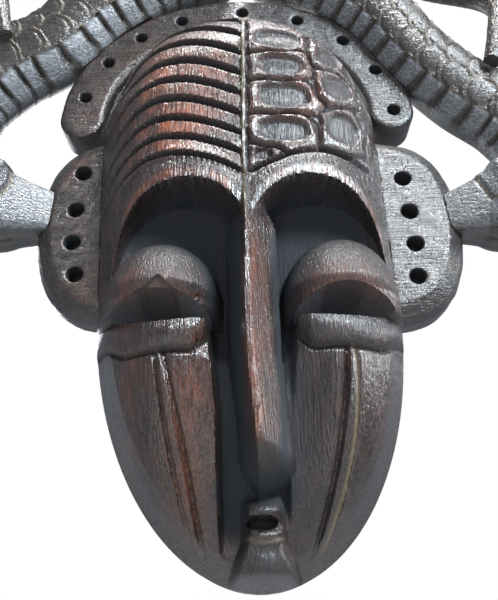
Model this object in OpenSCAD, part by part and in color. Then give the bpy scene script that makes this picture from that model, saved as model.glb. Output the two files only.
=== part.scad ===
// Carved wooden wall mask: a hollow face framed by a pierced crown band, two pierced
// ear flaps and two scaled snakes whose snouts rest on the flaps.
// X runs to the viewer's right, the carved front looks along -Y, the flat back is Y = 0.
// The origin is where a wall screw bears in the keyhole of the hanger plate.
// The modules measure heights from the chin, and placed() lowers them by hook_z.
// Left and right differ a little, because the mask is carved by hand.

/* [Face] */
// Half width of the face at the cheeks
cheek_half_w = 88.5; // [86:0.5:90]
// Height of the widest line of the cheeks above the chin
cheek_z = 150; // [140:1:160]
// Depth of the side wall of the face
side_depth = 30; // [27:1:33]
// Depth of the hollow behind the face
hollow_depth = 36; // [30:1:38]
// Thickness of the wood round the hollow
rim_w = 17; // [16:1:22]
// How far the nose stands out from the face
nose_rise = 24; // [16:1:28]
// Width of an eye slit
slit_w = 56; // [50:1:58]
// Height of an eye slit
slit_h = 13; // [11:0.5:15]

/* [Crown band] */
// Half width of the band, outside
crown_half_w = 120; // [118:1:123]
// Height of the arch above its springing
crown_rise = 105; // [103:1:107]
// Width of the band
crown_w = 30; // [28:1:31]
// Thickness of the band
crown_t = 26; // [24:1:28]
// Diameter of the nine blind holes
crown_hole_d = 8; // [6:0.5:8.5]

/* [Ear flaps] */
// How far a flap stands out from the centre line
ear_reach = 135; // [132:1:137]
// Half height of a flap
ear_half_h = 66; // [64:1:67]
// Thickness of a flap
ear_t = 30; // [29:1:32]
// Diameter of the four blind holes in a flap
ear_hole_d = 10; // [8:0.5:11]

/* [Snakes] */
// Depth of the snake bodies from front to back
snake_t = 50; // [46:1:52]
// Diameter of the eye studs
stud_d = 13; // [11:0.5:15]

/* [Fixings] */
// Diameter of the glued dowels
dowel_d = 8; // [6:0.5:8.5]
// Thickness of the brass hanger plate
plate_t = 1.5; // [1:0.1:2]
// Shank diameter of the wall screw that the keyhole takes
keyhole_d = 4.4; // [4:0.1:5]

/* [Hidden] */
$fn = 48;

wood = [0.22, 0.12, 0.08];
dark_wood = [0.16, 0.10, 0.08];
beech = [0.72, 0.55, 0.36];
brass = [0.78, 0.62, 0.30];

hook_z = 393;          // keyhole bearing above the chin
glue = 0.15;           // glue line between two carved pieces
dowel_l = 22;
blunt = 8;             // half width of the face at its chin and top ends
through = 120;         // longer than the mask is deep

// Crown ellipse, with its hole angles set out by hand
crown_x = -6;
crown_z = 300;
crown_hole_t = [167, 147, 129, 111, 87, 65, 44, 24, 2];
crown_hole_ring = 0.885;
crown_hole_deep = 16;
crown_pin_t = [34, 99, 157];
face_top = crown_z + crown_rise - crown_w;

ear_z_left = 220;
ear_z_right = 214;
ear_root = 60;         // the flap outlines begin here, inside the face
ear_bevel = 11;
ear_hole_deep = 16;
ear_holes_left = [[-106, 257], [-109, 230], [-110, 207], [-107, 185]];
ear_holes_right = [[99, 246], [101, 222], [102, 199], [101, 177]];
ear_pin_dz = [21, -27];
ear_pin_x = 89;

slit_x = 49;
slit_z = 140;
mouth_w = 16;
mouth_h = 6;
mouth_z = 29;
mouth_from = 66;       // depth where the blind mouth begins
lens_under = 0.35;     // how far the lower arc of a lens bulges, against the upper

snake_y = -snake_t / 2;
snake_pin_t = [34, 55, 120, 138];
snout_z_left = 233;
snout_z_right = 224;
snout_y = -21;
stud_x = 170;
stud_y = -47;
stud_z_left = 242;
stud_z_right = 231;
pin_y = -crown_t / 2;

plate_w = 44;
plate_h = 18;
plate_screw_x = 16;
key_head_d = 9;
key_drop = 6;
screw_l = 14;
screw_r = 1.5;
screw_head_r = 2.8;

// ---------------------------------------------------------------- shared shapes

module placed() translate([0, 0, -hook_z]) children();

// Stands a flat XZ outline up, from Y = -from towards the front
module slab(from, thick) translate([0, -from, 0]) rotate([90, 0, 0]) linear_extrude(thick) children();

function clamp(v, lo, hi) = min(max(v, lo), hi);
function smooth(a, b, v) = let (t = clamp((v - a) / (b - a), 0, 1)) t * t * (3 - 2 * t);
function bump(x, z, cx, cz, rx, rz) = exp(-pow((x - cx) / rx, 2) - pow((z - cz) / rz, 2));
function ring(rx, rz, t) = [crown_x + rx * cos(t), crown_z + rz * sin(t)];

// A dowel lies in the plane of the slabs, centred at a point and aimed at another
module pin(at, aim, y = pin_y) {
    along = aim - at;
    translate([at.x, y, at.y]) rotate([0, 90 - atan2(along.y, along.x), 0])
        cylinder(d = dowel_d, h = dowel_l, center = true);
}

// ---------------------------------------------------------------- face

// Outline of the face: half width and leaning middle line at height z
function half_w(z) =
    z < cheek_z ? cheek_half_w * sqrt(max(0, 1 - pow(1 - z / cheek_z, 2)))
    : z < crown_z ? cheek_half_w
    : cheek_half_w * sqrt(max(0, 1 - pow((z - crown_z) / (face_top - crown_z), 2)));
function mid_x(z) = 1.5 - 7 * z / crown_z;

module face_outline(grow) {
    rows = [for (t = [0:4:180]) face_top / 2 * (1 - cos(t))];
    offset(delta = grow) polygon(concat(
        [for (z = rows) [mid_x(z) + max(blunt, half_w(z)), z]],
        [for (k = [len(rows) - 1:-1:0]) [mid_x(rows[k]) - max(blunt, half_w(rows[k])), rows[k]]]));
}

// How near a point is to the outline: 0 along the middle, 1 on the edge
function rho(x, z) =
    let (end = z < cheek_z ? 1 - z / cheek_z : max(0, (z - crown_z) / (face_top - crown_z)))
    min(1, sqrt(pow((x - mid_x(z)) / cheek_half_w, 2) + end * end));

// Carved front, as a depth in front of the back plane
function rim_depth(z) = side_depth - 14 * smooth(282, 312, z);
function dome(r, z) =
    let (crest = 76 - 10 * smooth(60, 0, z)) rim_depth(z) + (crest - rim_depth(z)) * pow(1 - pow(r, 2.8), 0.6);
function nose(x, z) =
    nose_rise * smooth(42, 60, z) * smooth(270, 150, z) * exp(-pow(x / (8 + 5 * smooth(140, 50, z)), 2));
function brow(s, z) = 7 * smooth(90, 60, s) * exp(-pow((z - 228 + 18 * pow((s - 36) / 42, 2)) / 9, 2));
function socket(s, z) = 26 * bump(s, z, 38, 196, 38, 22) + 13 * bump(s, z, 22, 110, 13, 60);
function lid(s, z) = 20 * bump(s, z, 50, 158, 30, 24);
function cheek(s, z) = 8 * bump(s, z, 52, 90, 24, 60);
function lips(x, z) = 14 * bump(x, z, 2, 20, 16, 24);
function front(x, z) =
    let (s = abs(x), r = rho(x, z))
    dome(r, z) + (1 - pow(r, 4))
        * (nose(x, z) + brow(s, z) - socket(s, z) + lid(s, z) + cheek(s, z) + lips(x, z));
function hollow(u, v) =
    hollow_depth * sqrt(max(0, 1 - pow(abs(u), 4))) * pow(sin(180 * v), 0.7);

// A block with a flat back and a carved front, its grid given row by row
module relief(grid, rows, cols, y_back) {
    n = len(grid);
    function at(i, j) = j * (cols + 1) + i;
    edge = concat([for (i = [0:cols - 1]) at(i, 0)], [for (j = [0:rows - 1]) at(cols, j)],
                  [for (i = [cols:-1:1]) at(i, rows)], [for (j = [rows:-1:1]) at(0, j)]);
    m = len(edge);
    polyhedron(
        concat(grid, [for (e = edge) [grid[e].x, y_back, grid[e].z]]),
        concat(
            [for (j = [0:rows - 1], i = [0:cols - 1]) each
                [[at(i, j), at(i, j + 1), at(i + 1, j + 1)], [at(i, j), at(i + 1, j + 1), at(i + 1, j)]]],
            [for (k = [0:m - 1]) let (l = (k + 1) % m) each
                [[edge[k], edge[l], n + l], [edge[k], n + l, n + k]]],
            back_cap(n, rows, cols, m)));
}

// The flat back: a fan at each end and a strip between the two sides
function back_cap(n, rows, cols, m) = concat(
    [for (k = [0:cols]) [n + k, n + k + 1, n + m - 1]],
    [for (j = [1:rows - 2]) each
        [[n + cols + j, n + cols + j + 1, n + m - j - 1], [n + cols + j, n + m - j - 1, n + m - j]]],
    [for (k = [cols + rows:m - rows]) [n + k, n + k + 1, n + cols + rows - 1]]);

module face_block() {
    rows = 48;
    cols = 32;
    relief([for (j = [0:rows], i = [0:cols])
        let (z = 2 + (face_top - 4) / 2 * (1 - cos(180 * j / rows)),
             u = sin(90 * (2 * i / cols - 1)),
             x = mid_x(z) + u * max(blunt, half_w(z)))
        [x, -front(x, z), z]], rows, cols, 0);
}

module hollow_block() {
    rows = 20;
    cols = 14;
    relief([for (j = [0:rows], i = [0:cols])
        let (v = j / rows,
             z = rim_w + 8 + (face_top - 2 * rim_w - 12) / 2 * (1 - cos(180 * v)),
             u = sin(90 * (2 * i / cols - 1)))
        [mid_x(z) + u * max(12, half_w(z) - rim_w), -hollow(u, v), z]], rows, cols, 1);
}

// Lens outline between two arcs, flatter below than above
module lens(w, h) {
    r = (w * w / 4 + h * h) / (2 * h);
    intersection() {
        translate([0, h - r]) circle(r, $fn = 96);
        translate([0, r - lens_under * h]) circle(r, $fn = 96);
    }
}

module face() color(wood) placed() difference() {
    face_block();
    hollow_block();
    for (side = [-1, 1]) translate([side * slit_x, 0, slit_z]) slab(-1, through) lens(slit_w, slit_h);
    translate([0, 0, mouth_z]) slab(mouth_from, through) lens(mouth_w, mouth_h);
    crown_pins();
    ear_pins();
}

// ---------------------------------------------------------------- crown band

module crown_outline(grow = 0) difference() {
    union() {
        polygon([for (t = [0:4:180]) ring(crown_half_w + grow, crown_rise + grow, t)]);
        for (t = [2, 178]) translate(ring(crown_half_w - crown_w / 2, crown_rise, t)) circle(crown_w / 2 + grow);
    }
    face_outline(glue);
}

module crown_band() color(wood) placed() difference() {
    slab(0, crown_t) crown_outline();
    for (t = crown_hole_t)
        let (p = ring(crown_half_w * crown_hole_ring, crown_rise * crown_hole_ring, t))
        translate([p.x, crown_hole_deep - crown_t, p.y]) rotate([90, 0, 0]) cylinder(d = crown_hole_d, h = 30);
    crown_pins();
    snake_pins();
    hanger_recess();
    hanger_screw_holes();
}

module crown_pins()
    for (t = crown_pin_t)
        pin(ring(crown_half_w - crown_w, crown_rise - crown_w, t), [crown_x, crown_z]);

// ---------------------------------------------------------------- ear flaps

// D-shaped outline that grows out of the side of the face
module ear_outline(inset) {
    a = ear_reach - ear_root - inset;
    b = ear_half_h - inset;
    polygon([for (t = [-90:9:90])
        [ear_root + a * pow(cos(t), 0.5), b * sign(t) * pow(abs(sin(t)), 0.9)]]);
}

module ear_blank() hull() {
    slab(0, 1) ear_outline(3);
    slab(5, 13) ear_outline(0);
    slab(ear_t - 6, 2) ear_outline(0.3 * ear_bevel);
    slab(ear_t - 1, 1) ear_outline(ear_bevel);
}

module ear_flap(side, z, holes) difference() {
    translate([0, 0, z]) mirror([side > 0 ? 0 : 1, 0, 0]) ear_blank();
    slab(-1, through) face_outline(glue);
    for (p = holes)
        translate([p.x, ear_hole_deep - ear_t, p.y]) rotate([90, 0, 0]) cylinder(d = ear_hole_d, h = 30);
    ear_pins();
    snout_pins();
}

module ear_flap_left() color(wood) placed() ear_flap(-1, ear_z_left, ear_holes_left);
module ear_flap_right() color(wood) placed() ear_flap(1, ear_z_right, ear_holes_right);

module ear_pins()
    for (dz = ear_pin_dz) {
        pin([-ear_pin_x - 3, ear_z_left + dz], [-200, ear_z_left + dz]);
        pin([ear_pin_x - 5, ear_z_right + dz], [200, ear_z_right + dz]);
    }

// ---------------------------------------------------------------- snakes

// Control points of a body: [x, z, y, half width, half depth]
snake_path_left = [
    [-4, 434, snake_y, 10, 12], [-14, 435, snake_y, 21, 22], [-60, 425, snake_y, 26, 25],
    [-104, 397, snake_y, 28, 25], [-134, 366, snake_y, 29, 25], [-164, 347, snake_y, 30, 25],
    [-190, 318, snake_y, 29, 25], [-196, 282, snake_y, 28, 25], [-184, 250, snake_y, 28, 25],
    [-162, 236, snake_y, 27, 25], [-146, 233, snout_y, 21, 20], [-ear_reach - glue, 232, snout_y, 18, 18]
];
snake_path_right = [
    [4, 433, snake_y, 10, 12], [14, 433, snake_y, 21, 22], [54, 421, snake_y, 25, 25],
    [94, 389, snake_y, 25, 25], [120, 348, snake_y, 24, 25], [147, 316, snake_y, 25, 25],
    [176, 293, snake_y, 28, 25], [192, 264, snake_y, 28, 25], [182, 236, snake_y, 27, 25],
    [160, 226, snake_y, 27, 25], [145, 224, snout_y, 20, 20], [ear_reach + glue, 223, snout_y, 17, 18]
];
tail_path_left = [
    [-4, 453, -26, 7, 7], [-14, 456, -26, 14, 14], [-60, 461, -27, 16, 15], [-110, 449, -28, 15, 15],
    [-150, 443, -29, 14, 14], [-172, 425, -33, 12, 12], [-174, 402, -43, 10, 10],
    [-167, 377, -53, 9, 8], [-159, 352, -53, 6, 6]
];
tail_path_right = [
    [4, 452, -26, 7, 7], [14, 454, -26, 14, 14], [56, 454, -27, 15, 15], [100, 430, -28, 15, 15],
    [140, 413, -29, 14, 14], [168, 397, -33, 12, 12], [178, 374, -42, 10, 10],
    [172, 347, -52, 10, 9], [162, 320, -51, 7, 7]
];

// Smooth curve through control points, s running from 0 to len(p) - 1
function knot(p, k) = p[clamp(k, 0, len(p) - 1)];
function curve(p, s) =
    let (k = clamp(floor(s), 0, len(p) - 2), t = s - k,
         a = knot(p, k - 1), b = knot(p, k), c = knot(p, k + 1), d = knot(p, k + 2))
    0.5 * ((2 * b) + (c - a) * t + (2 * a - 5 * b + 4 * c - d) * t * t + (3 * b - a - 3 * c + d) * t * t * t);

// Body swept along the curve, its section an oval that is flattened at the back
module body_sweep(p, steps, sides) {
    last = (len(p) - 1) * steps;
    function here(k) = curve(p, k / steps);
    function heading(k) =
        let (a = here(max(0, k - 0.5)), b = here(min(last, k + 0.5))) atan2(b[1] - a[1], b[0] - a[0]);
    polyhedron(
        [for (k = [0:last], i = [0:sides - 1])
            let (c = here(k), h = heading(k), t = 360 * (i + 0.5) / sides, r = c[3] * cos(t))
            [c[0] - r * sin(h), min(-1, c[2] - c[4] * sin(t)), c[1] + r * cos(h)]],
        concat(
            [[for (i = [0:sides - 1]) i]],
            [for (k = [0:last - 1], i = [0:sides - 1])
                let (a = k * sides + i, b = k * sides + (i + 1) % sides) each
                [[a, a + sides, b + sides], [a, b + sides, b]]],
            [[for (i = [sides - 1:-1:0]) last * sides + i]]));
}

module snake(path, side) difference() {
    body_sweep(path, 4, 16);
    slab(-1, crown_t + 1) crown_outline(glue);
    translate([side > 0 ? 0 : -ear_reach, -80, 150]) cube([ear_reach, 90, 100]);
    snake_pins();
    tail_pins();
    snout_pins();
    eye_studs();
}

module snake_left() color(dark_wood) placed() snake(snake_path_left, -1);
module snake_right() color(dark_wood) placed() snake(snake_path_right, 1);

module tail(path, body_path) difference() {
    body_sweep(path, 4, 12);
    body_sweep(body_path, 4, 16);
    tail_pins();
}

module tail_left() color(dark_wood) placed() tail(tail_path_left, snake_path_left);
module tail_right() color(dark_wood) placed() tail(tail_path_right, snake_path_right);

module snake_pins() for (t = snake_pin_t) pin(ring(crown_half_w, crown_rise, t), [crown_x, crown_z]);
module tail_pins() {
    pin([-64, 449], [-60, 425], snake_y);
    pin([63, 443], [54, 421], snake_y);
}
module snout_pins() {
    pin([-ear_reach, snout_z_left], [-200, snout_z_left]);
    pin([ear_reach, snout_z_right], [200, snout_z_right]);
}

// Turned stud with a domed head, let into the wood
module eye_stud(x, z) translate([x, stud_y, z]) rotate([90, 0, 0]) {
    cylinder(d = 0.6 * stud_d, h = 12, center = true);
    intersection() {
        sphere(d = stud_d);
        cylinder(d = stud_d, h = stud_d);
    }
}
module eye_studs() {
    eye_stud(-stud_x, stud_z_left);
    eye_stud(stud_x, stud_z_right);
}
module eye_stud_left() color(dark_wood) placed() eye_stud(-stud_x, stud_z_left);
module eye_stud_right() color(dark_wood) placed() eye_stud(stud_x, stud_z_right);

// ---------------------------------------------------------------- fixings

module crown_dowels() color(beech) placed() crown_pins();
module ear_dowels() color(beech) placed() ear_pins();
module snake_dowels() color(beech) placed() snake_pins();
module tail_dowels() color(beech) placed() tail_pins();
module snout_dowels() color(beech) placed() snout_pins();

module plate_outline() {
    square([plate_w - plate_h, plate_h], center = true);
    for (x = [-1, 1]) translate([x * (plate_w - plate_h) / 2, 0]) circle(d = plate_h);
}

// The pocket lets the plate lie flush and gives the screw head room behind the keyhole
module hanger_recess() translate([0, 0, hook_z - key_drop / 2]) {
    slab(-1, plate_t + 1) plate_outline();
    slab(-1, plate_t + 7) square([key_head_d + 3, plate_h - 2], center = true);
}

module plate_screws(r) translate([0, 0, hook_z - key_drop / 2])
    for (x = [-plate_screw_x, plate_screw_x])
        translate([x, 0, 0]) rotate([90, 0, 0]) cylinder(r = r, h = screw_l);

module hanger_screw_holes() plate_screws(screw_r);

module hanger_plate() color(brass) placed() difference() {
    translate([0, 0, hook_z - key_drop / 2]) slab(0, plate_t) plate_outline();
    translate([0, 0, hook_z]) {
        slab(-1, 4) circle(d = keyhole_d);
        translate([0, 0, -key_drop / 2]) slab(-1, 4) square([keyhole_d, key_drop], center = true);
        translate([0, 0, -key_drop]) slab(-1, 4) circle(d = key_head_d);
    }
    plate_screws(screw_head_r);
}

module hanger_screws() color(brass) placed() translate([0, 0, hook_z - key_drop / 2])
    for (x = [-plate_screw_x, plate_screw_x])
        translate([x, 0, 0]) rotate([90, 0, 0]) {
            cylinder(r = screw_r, h = screw_l);
            cylinder(r = screw_head_r, h = plate_t);
        }

face();
crown_band();
ear_flap_left();
ear_flap_right();
snake_left();
snake_right();
tail_left();
tail_right();
eye_stud_left();
eye_stud_right();
crown_dowels();
ear_dowels();
snake_dowels();
tail_dowels();
snout_dowels();
hanger_plate();
hanger_screws();
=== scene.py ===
import math

import bmesh
import bpy
import numpy as np
from mathutils import Matrix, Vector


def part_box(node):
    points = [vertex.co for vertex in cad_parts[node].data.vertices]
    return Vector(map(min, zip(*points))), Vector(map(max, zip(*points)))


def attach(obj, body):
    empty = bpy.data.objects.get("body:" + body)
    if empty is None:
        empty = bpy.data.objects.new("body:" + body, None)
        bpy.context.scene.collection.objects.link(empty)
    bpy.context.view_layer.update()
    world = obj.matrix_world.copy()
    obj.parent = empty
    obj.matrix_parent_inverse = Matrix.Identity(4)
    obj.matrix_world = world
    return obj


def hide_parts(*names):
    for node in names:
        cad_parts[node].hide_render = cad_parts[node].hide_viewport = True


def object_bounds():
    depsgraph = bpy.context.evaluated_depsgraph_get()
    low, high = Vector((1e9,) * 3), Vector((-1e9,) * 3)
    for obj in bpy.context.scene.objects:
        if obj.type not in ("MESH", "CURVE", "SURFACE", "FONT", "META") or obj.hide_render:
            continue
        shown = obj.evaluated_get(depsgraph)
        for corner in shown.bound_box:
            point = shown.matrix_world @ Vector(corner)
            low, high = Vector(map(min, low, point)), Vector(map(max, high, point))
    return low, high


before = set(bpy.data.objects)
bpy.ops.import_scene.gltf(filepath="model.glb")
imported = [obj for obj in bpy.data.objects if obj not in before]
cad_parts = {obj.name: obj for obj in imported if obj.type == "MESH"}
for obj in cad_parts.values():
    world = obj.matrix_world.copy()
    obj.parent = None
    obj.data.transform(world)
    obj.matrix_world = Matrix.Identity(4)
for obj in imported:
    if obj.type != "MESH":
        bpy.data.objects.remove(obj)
cad_low, cad_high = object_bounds()

MM = 0.001
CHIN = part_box("face")[0].z - 0.002      # height of the chin in the frame, in metres
SCENE = bpy.context.scene

# Sizes in millimetres, measured up from the chin, the same as in the CAD
CHEEK_HALF = 88.5
CHEEK_Z = 150.0
CROWN_Z = 300.0
FACE_TOP = 375.0
SIDE_DEPTH = 30.0
HOLLOW_DEPTH = 36.0
RIM = 17.0
SLIT_X, SLIT_Z, SLIT_W, SLIT_H = 49.0, 140.0, 56.0, 13.0
CROWN_X = -6.0
CROWN_A, CROWN_B, CROWN_W, CROWN_T = 120.0, 105.0, 30.0, 26.0
CROWN_HOLES = (167, 147, 129, 111, 87, 65, 44, 24, 2)   # degrees round the band
CROWN_HOLE_R, EAR_HOLE_R, HOLE_DEPTH = 4.0, 5.0, 16.0
EAR_START, EAR_REACH, EAR_HALF_H, EAR_T = 60.0, 135.0, 66.0, 30.0
EAR_Z = {-1: 220.0, 1: 214.0}
EAR_HOLES = {
    -1: ((-106, 257), (-109, 230), (-110, 207), (-107, 185)),
    1: ((99, 246), (101, 222), (102, 199), (101, 177)),
}
STUD = {-1: (-170.0, 242.0), 1: (170.0, 231.0)}
HOOK_Z = 393.0
GLUE = 0.3
SIDE_NAME = {-1: "left", 1: "right"}


# ---- helpers

def smooth(a, b, v):
    """0 at a, 1 at b, with a soft start and end."""
    t = np.clip((v - a) / (b - a), 0.0, 1.0)
    return t * t * (3 - 2 * t)


def bump(x, z, cx, cz, rx, rz):
    """A soft hill round a point."""
    return np.exp(-((x - cx) / rx) ** 2 - ((z - cz) / rz) ** 2)


def line(d, w):
    """1 on a line, falling to 0 over a distance of about w from it."""
    return np.exp(-(d / w) ** 2)


def lumps(x, y, z, size, seed):
    """Slow irregularity of hand carving, between about -1 and 1."""
    rng = np.random.default_rng(seed)
    out = np.zeros(np.broadcast(x, y, z).shape)
    for _ in range(7):
        k = rng.normal(size=3) / size
        out = out + np.sin(k[0] * x + k[1] * y + k[2] * z + rng.uniform(0, 6.28))
    return out / 3.0


def new_mesh(name, points, faces):
    """A closed mesh object from points in millimetres above the chin."""
    p = np.asarray(points, float) * MM
    p[:, 2] += CHIN
    me = bpy.data.meshes.new(name)
    me.from_pydata(p.tolist(), [], [tuple(int(i) for i in f) for f in faces])
    me.validate()
    bm = bmesh.new()
    bm.from_mesh(me)
    bmesh.ops.recalc_face_normals(bm, faces=bm.faces)
    bm.to_mesh(me)
    bm.free()
    ob = bpy.data.objects.new(name, me)
    SCENE.collection.objects.link(ob)
    return ob


def coords(ob):
    """Vertices in millimetres above the chin."""
    co = np.empty(len(ob.data.vertices) * 3, np.float32)
    ob.data.vertices.foreach_get("co", co)
    co = co.reshape(-1, 3).astype(float)
    co[:, 2] -= CHIN
    return co / MM


def set_coords(ob, co):
    p = np.array(co, float) * MM
    p[:, 2] += CHIN
    ob.data.vertices.foreach_set("co", p.astype(np.float32).ravel())
    ob.data.update()


def mark(ob, **values):
    """Stores numbers per vertex for the materials."""
    for name, v in values.items():
        a = ob.data.attributes.new(name, "FLOAT", "POINT")
        a.data.foreach_set("value", np.clip(v, 0, 1).astype(np.float32))


def bake(ob):
    """Applies the modifiers of a piece."""
    dg = bpy.context.evaluated_depsgraph_get()
    me = bpy.data.meshes.new_from_object(ob.evaluated_get(dg))
    ob.modifiers.clear()
    ob.data = me
    me.name = ob.name


def cut(ob, tools):
    """Cuts closed tool meshes out of a piece and removes the tools."""
    for t in tools:
        m = ob.modifiers.new("cut", "BOOLEAN")
        m.operation = "DIFFERENCE"
        m.solver = "MANIFOLD"
        m.object = t
    bake(ob)
    for t in tools:
        bpy.data.objects.remove(t)


def remesh(ob, size):
    m = ob.modifiers.new("remesh", "REMESH")
    m.mode = "VOXEL"
    m.voxel_size = size * MM
    bake(ob)


def weather(ob, amount, seed):
    """Moves every vertex a little, the way a knife leaves a surface. The back stays flat."""
    co = coords(ob)
    n = np.empty(len(co) * 3, np.float32)
    ob.data.vertices.foreach_get("normal", n)
    n = n.reshape(-1, 3)
    x, y, z = co.T
    wave = lumps(x, y, z, 6, seed) + 0.5 * lumps(x, y, z, 2.2, seed + 1)
    set_coords(ob, co - n * (amount * (0.6 + wave) * (y < -3.0))[:, None])


def shade(ob, degrees):
    ob.data.shade_smooth()
    ob.data.set_sharp_from_angle(angle=math.radians(degrees))


def hand_over(ob, node, material):
    """Gives a finished piece its material and its place in the frame."""
    ob.data.materials.clear()
    ob.data.materials.append(material)
    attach(ob, "root")
    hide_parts(node)
    return ob


def tube_faces(rows, cols):
    """Quads of a closed tube of rows rings with cols points each, with end caps."""
    quads = [(k * cols + i, k * cols + (i + 1) % cols, (k + 1) * cols + (i + 1) % cols, (k + 1) * cols + i)
             for k in range(rows - 1) for i in range(cols)]
    return quads + [list(range(cols))[::-1], list(range((rows - 1) * cols, rows * cols))]


def layered(name, layers):
    """A closed slab from XZ outlines with the same number of points at several depths."""
    pts = [(x, y, z) for y, outline in layers for x, z in outline]
    return new_mesh(name, pts, tube_faces(len(layers), len(layers[0][1])))


def prism(name, outline, y0, y1):
    """A closed slab of one outline between two depths."""
    return layered(name, [(y0, outline), (y1, outline)])


def turned(name, x, z, profile, sides):
    """A round body about a line from front to back, from pairs of radius and depth."""
    angles = np.linspace(0, 2 * math.pi, sides, endpoint=False)
    rings = [(y, [(x + r * math.cos(t), z + r * math.sin(t)) for t in angles]) for r, y in profile]
    return layered(name, rings)


def bore(x, z, r, thick):
    """A drill that leaves a blind hole with a worn mouth in the front of a slab."""
    profile = [(0.15 * r, HOLE_DEPTH - thick), (0.97 * r, HOLE_DEPTH - thick - 1.5), (r, 1.0 - thick),
               (r + 0.6, -thick), (r + 2.2, -thick - 14.0)]
    return turned("bore", x, z, profile, 40)


def holes_mark(co, centres, r, thick):
    """1 inside the blind holes, 0 outside."""
    x, y, z = co.T
    within = smooth(0.2, 2.0, y + thick) * smooth(HOLE_DEPTH + 1.5, HOLE_DEPTH + 0.5, y + thick)
    out = np.zeros(len(co))
    for cx, cz in centres:
        out = np.maximum(out, smooth(r + 0.9, r - 0.2, np.hypot(x - cx, z - cz)) * within)
    return out


# ---- face

RIDGE_X = -2.2
STRIPE_Z, STRIPE_START, STRIPE_GROWTH, STRIPE_ROOT, STRIPE_COUNT = 224.0, 112.8, 0.33, 18.485, 7.8
SOCKET_X, SOCKET_HALF_W, SOCKET_Z, SOCKET_RISE, SOCKET_DEPTH = 38.0, 41.5, 165.0, 56.0, 47.0
ROUND, UNROUND = 2.2, 0.4545        # power of the rounded arches, and its inverse
LID_X, LID_Z, LID_HALF_W, LID_HALF_H, LID_FOOT = 50.0, 143.0, 34.5, 47.0, 138.0
LID_DEPTH, LID_SWELL = 44.0, 42.0
NICK_X, NICK_Z = -49.0, 157.5
LOWER_LID_TOP = 140.0
SCAR_TOP = 118.0
SCAR = {-1: (-50.0, 0.13, 0.0006), 1: (51.2, 0.06, -0.0027)}    # start, slope and bend of each scar
NOSE_LOW, NOSE_HIGH, NOSE_CUT = 20.0, 232.0, 45.0
MOUTH_X, MOUTH_Z, MOUTH_RX, MOUTH_RZ = 1.8, 33.2, 7.6, 3.1
LIPS_X, LIP_LINE_Z = 2.5, 24.6
THINNEST, FRONT_MOST = 8.0, 98.8
GRID_LOW, GRID_HIGH = 2.05, FACE_TOP - 2.0


def half_w(z):
    """Half width of the face at a height."""
    low = CHEEK_HALF * np.sqrt(np.clip(1 - (1 - (z - 2) / (CHEEK_Z - 2)) ** 2, 0, 1))
    high = CHEEK_HALF * np.sqrt(np.clip(1 - ((z - CROWN_Z) / (FACE_TOP - CROWN_Z)) ** 2, 0, 1))
    return np.where(z < CHEEK_Z, low, np.where(z < CROWN_Z, CHEEK_HALF, high))


def blunt_half_w(z):
    """The same with a blunt crown and chin, so that the rows of a grid never close to a point."""
    return np.maximum(np.where(z > 200, 8, 1.5), half_w(z))


def mid_x(z):
    """The face leans a little to one side towards the crown."""
    return 1.5 - 7 * z / CROWN_Z


def rho(x, z):
    """0 in the middle of the face, 1 at its edge."""
    end = np.where(z < CHEEK_Z, 1 - z / CHEEK_Z, np.clip((z - CROWN_Z) / (FACE_TOP - CROWN_Z), 0, None))
    return np.minimum(1, np.sqrt(((x - mid_x(z)) / CHEEK_HALF) ** 2 + end ** 2))


def ridge_x(z):
    """The thin ridge that runs from the crown down to the tip of the nose."""
    return RIDGE_X + 0.018 * np.clip(z - 224, 0, None) + 4.6 * smooth(125, 45, z)


def dome(x, z):
    """The egg shape of the face, before it is carved."""
    r = rho(x, z)
    rim = SIDE_DEPTH - 11 * smooth(282, 312, z)
    crest = 76 - 10 * smooth(60, 0, z)
    ledge = 1 - 0.055 * smooth(285, 310, z) * smooth(40, -40, x) - 0.02 * smooth(285, 310, z)
    power = 0.47 + 0.13 * smooth(120, 175, z)
    d = rim + (crest - rim) * np.clip(1 - (r / ledge) ** 2.8, 0, 1) ** power
    facet = rim + 2.15 * CHEEK_HALF * (1 - r) + 1.5
    return np.where(z < 175, np.minimum(d, facet + 20 * smooth(118, 150, z)), d)


def stripe_lift(s):
    """How a stripe of the forehead climbs from the ridge and drops over the temple."""
    return 15 * np.sin(np.clip(s, 0, 50) / 50 * math.pi / 2) - 15 * np.clip((s - 50) / 28, 0, None) ** 2


def stripes(x, z):
    """Depth, groove and crest of the overlapping curved stripes left of the ridge."""
    s = ridge_x(z) - x
    up = z - stripe_lift(s) - STRIPE_Z + STRIPE_START
    k = np.sqrt(np.clip(up / STRIPE_GROWTH, 0, None)) - STRIPE_ROOT
    inside = smooth(1.2, 3.5, s) * smooth(88, 76, s)
    inside = inside * smooth(-0.35, -0.1, k) * smooth(STRIPE_COUNT + 0.8, STRIPE_COUNT + 0.4, k)
    t = k - np.floor(k)
    thick = 0.105 - 0.075 * smooth(38, 78, s) - 0.03 * smooth(10, 2, s)
    off_groove = np.abs(t - np.where(t > 0.5, 1.0, 0.0))
    groove = smooth(thick + 0.07, thick - 0.05, off_groove) * inside
    band = 3.0 * smooth(0.0, 0.14, t) * (1.0 - 0.55 * t)
    crest = smooth(0.1, 0.25, t) * smooth(1.0, 0.7, t) * inside
    return band * inside - (4.0 - 2.2 * smooth(34, 78, s)) * groove, groove, crest


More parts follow.
